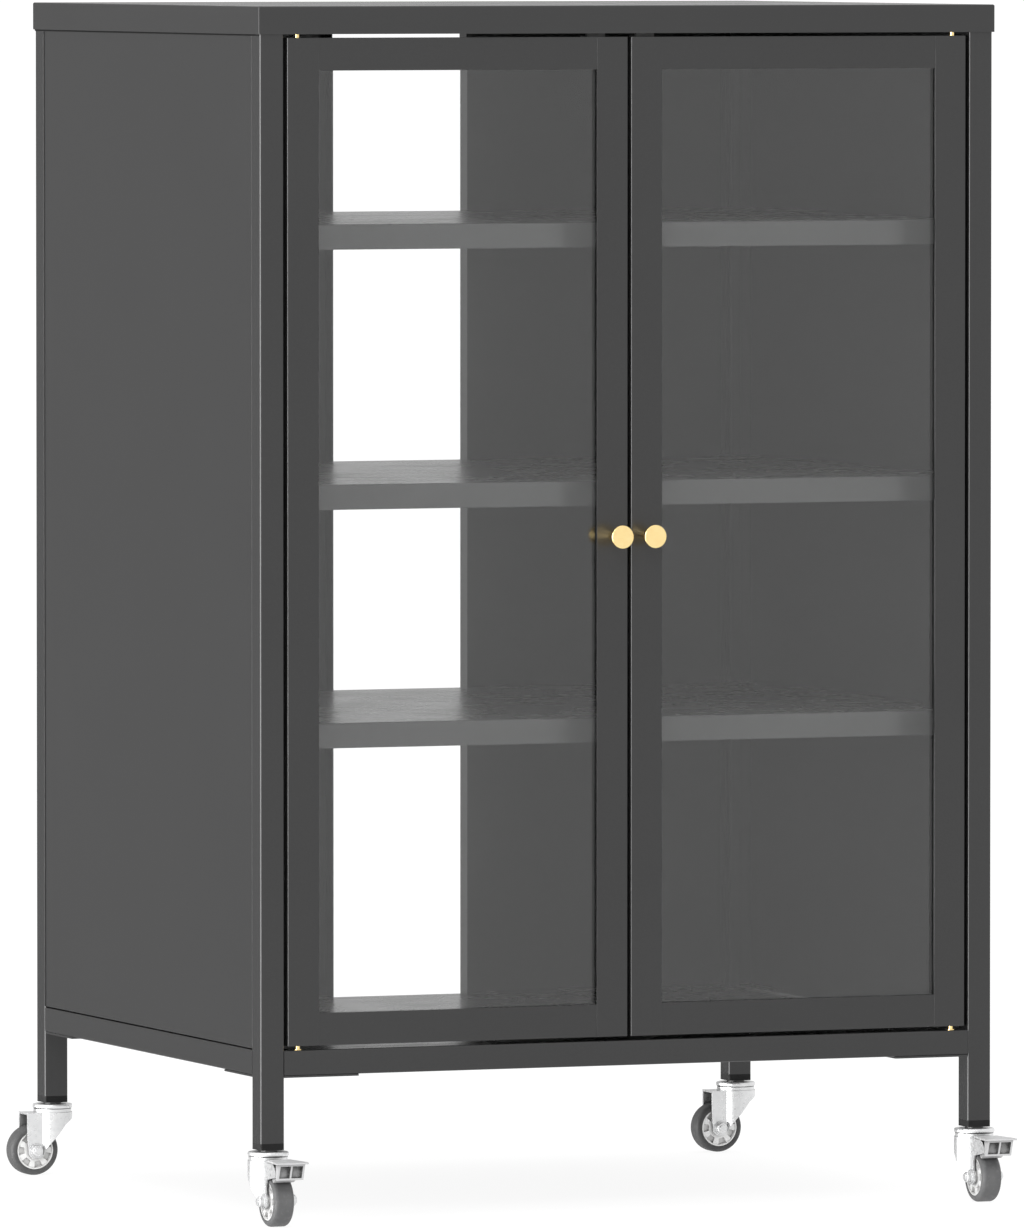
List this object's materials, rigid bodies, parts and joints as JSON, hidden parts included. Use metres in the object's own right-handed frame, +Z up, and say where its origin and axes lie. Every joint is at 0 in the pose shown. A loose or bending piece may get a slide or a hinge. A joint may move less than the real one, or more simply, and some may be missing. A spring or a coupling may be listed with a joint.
{
  "type": "media cabinet",
  "caption": "Rolling steel media cabinet with fixed shelves behind glazed hinged doors, an open cable slot in the back and braked swivel casters.",
  "frame": {"origin": "centre of the cabinet's footprint (the centre of its rectangular cap), on the floor", "axes": "+X to the right seen from the front, +Y to the back, +Z up"},
  "size_m": [0.6304, 0.5449, 0.915],
  "materials": {
    "frame_paint": "dark grey semi-gloss powder coat",
    "brass": "polished",
    "clear_glass": "clear, faintly grey, polished",
    "gasket_rubber": "matt black",
    "plug_plastic": "black nylon",
    "screw_steel": "zinc plated",
    "strike_steel": "plain steel",
    "zinc_steel": "bright zinc plating",
    "rim_plastic": "moulded white-grey nylon",
    "tyre_rubber": "dark grey rubber",
    "pedal_plastic": "grey nylon"
  },
  "bodies": {
    "root": {"top_cover": "frame_paint", "post_front_left": "frame_paint", "post_front_right": "frame_paint", "post_rear_left": "frame_paint", "post_rear_right": "frame_paint", "front_bottom_rail": "frame_paint", "rear_bottom_rail": "frame_paint", "left_bottom_rail": "frame_paint", "right_bottom_rail": "frame_paint", "top_rails": "frame_paint", "left_side_panel": "frame_paint", "right_side_panel": "frame_paint", "back_panel_left": "frame_paint", "back_panel_right": "frame_paint", "bottom_panel": "frame_paint", "upper_shelf": "frame_paint", "middle_shelf": "frame_paint", "lower_shelf": "frame_paint", "shelf_rails": "frame_paint", "shelf_screws": "screw_steel", "corner_gussets": "frame_paint", "leg_plugs": "plug_plastic", "hinge_bushes": "brass", "magnet_catches": "plug_plastic", "cap_screws": "screw_steel", "caster_stems": "zinc_steel"},
    "left_door": {"left_door_frame": "frame_paint", "left_door_plugs": "plug_plastic", "left_hinge_pins": "brass", "left_door_glass": "clear_glass", "left_glass_gasket": "gasket_rubber", "left_door_knob": "brass", "left_knob_screw": "screw_steel", "left_strike_plate": "strike_steel"},
    "right_door": {"right_door_frame": "frame_paint", "right_door_plugs": "plug_plastic", "right_hinge_pins": "brass", "right_door_glass": "clear_glass", "right_glass_gasket": "gasket_rubber", "right_door_knob": "brass", "right_knob_screw": "screw_steel", "right_strike_plate": "strike_steel"},
    "front_left_swivel": {"front_left_caster_fork": "zinc_steel", "front_left_caster_axle": "zinc_steel"},
    "front_left_wheel": {"front_left_caster_rim": "rim_plastic", "front_left_caster_tyre": "tyre_rubber"},
    "front_left_brake": {"front_left_brake_lever": "pedal_plastic"},
    "front_right_swivel": {"front_right_caster_fork": "zinc_steel", "front_right_caster_axle": "zinc_steel"},
    "front_right_wheel": {"front_right_caster_rim": "rim_plastic", "front_right_caster_tyre": "tyre_rubber"},
    "front_right_brake": {"front_right_brake_lever": "pedal_plastic"},
    "rear_left_swivel": {"rear_left_caster_fork": "zinc_steel", "rear_left_caster_axle": "zinc_steel"},
    "rear_left_wheel": {"rear_left_caster_rim": "rim_plastic", "rear_left_caster_tyre": "tyre_rubber"},
    "rear_right_swivel": {"rear_right_caster_fork": "zinc_steel", "rear_right_caster_axle": "zinc_steel"},
    "rear_right_wheel": {"rear_right_caster_rim": "rim_plastic", "rear_right_caster_tyre": "tyre_rubber"}
  },
  "joints": [
    {"name": "left_door_hinge", "type": "hinge", "parent": "root", "child": "left_door", "pos_m": [-0.2672, -0.2426, 0], "axis": [0, 0, -1], "range_deg": [0, 130]},
    {"name": "right_door_hinge", "type": "hinge", "parent": "root", "child": "right_door", "pos_m": [0.2672, -0.2426, 0], "axis": [0, 0, 1], "range_deg": [0, 130]},
    {"name": "front_left_swivel_turn", "type": "hinge", "parent": "root", "child": "front_left_swivel", "pos_m": [-0.2891, -0.2381, 0.05], "axis": [0, 0, 1], "continuous": true},
    {"name": "front_left_wheel_roll", "type": "hinge", "parent": "front_left_swivel", "child": "front_left_wheel", "pos_m": [-0.2891, -0.2551, 0.0195], "axis": [1, 0, 0], "continuous": true},
    {"name": "front_left_brake_press", "type": "hinge", "parent": "front_left_swivel", "child": "front_left_brake", "pos_m": [-0.2891, -0.2721, 0.0453], "axis": [1, 0, 0], "range_deg": [0, 18]},
    {"name": "front_right_swivel_turn", "type": "hinge", "parent": "root", "child": "front_right_swivel", "pos_m": [0.2891, -0.2381, 0.05], "axis": [0, 0, 1], "continuous": true},
    {"name": "front_right_wheel_roll", "type": "hinge", "parent": "front_right_swivel", "child": "front_right_wheel", "pos_m": [0.2891, -0.2551, 0.0195], "axis": [1, 0, 0], "continuous": true},
    {"name": "front_right_brake_press", "type": "hinge", "parent": "front_right_swivel", "child": "front_right_brake", "pos_m": [0.2891, -0.2721, 0.0453], "axis": [1, 0, 0], "range_deg": [0, 18]},
    {"name": "rear_left_swivel_turn", "type": "hinge", "parent": "root", "child": "rear_left_swivel", "pos_m": [-0.2891, 0.2381, 0.05], "axis": [0, 0, 1], "continuous": true},
    {"name": "rear_left_wheel_roll", "type": "hinge", "parent": "rear_left_swivel", "child": "rear_left_wheel", "pos_m": [-0.3061, 0.2381, 0.0195], "axis": [0, 1, 0], "continuous": true},
    {"name": "rear_right_swivel_turn", "type": "hinge", "parent": "root", "child": "rear_right_swivel", "pos_m": [0.2891, 0.2381, 0.05], "axis": [0, 0, 1], "continuous": true},
    {"name": "rear_right_wheel_roll", "type": "hinge", "parent": "rear_right_swivel", "child": "rear_right_wheel", "pos_m": [0.2721, 0.2381, 0.0195], "axis": [0, 1, 0], "continuous": true}
  ]
}
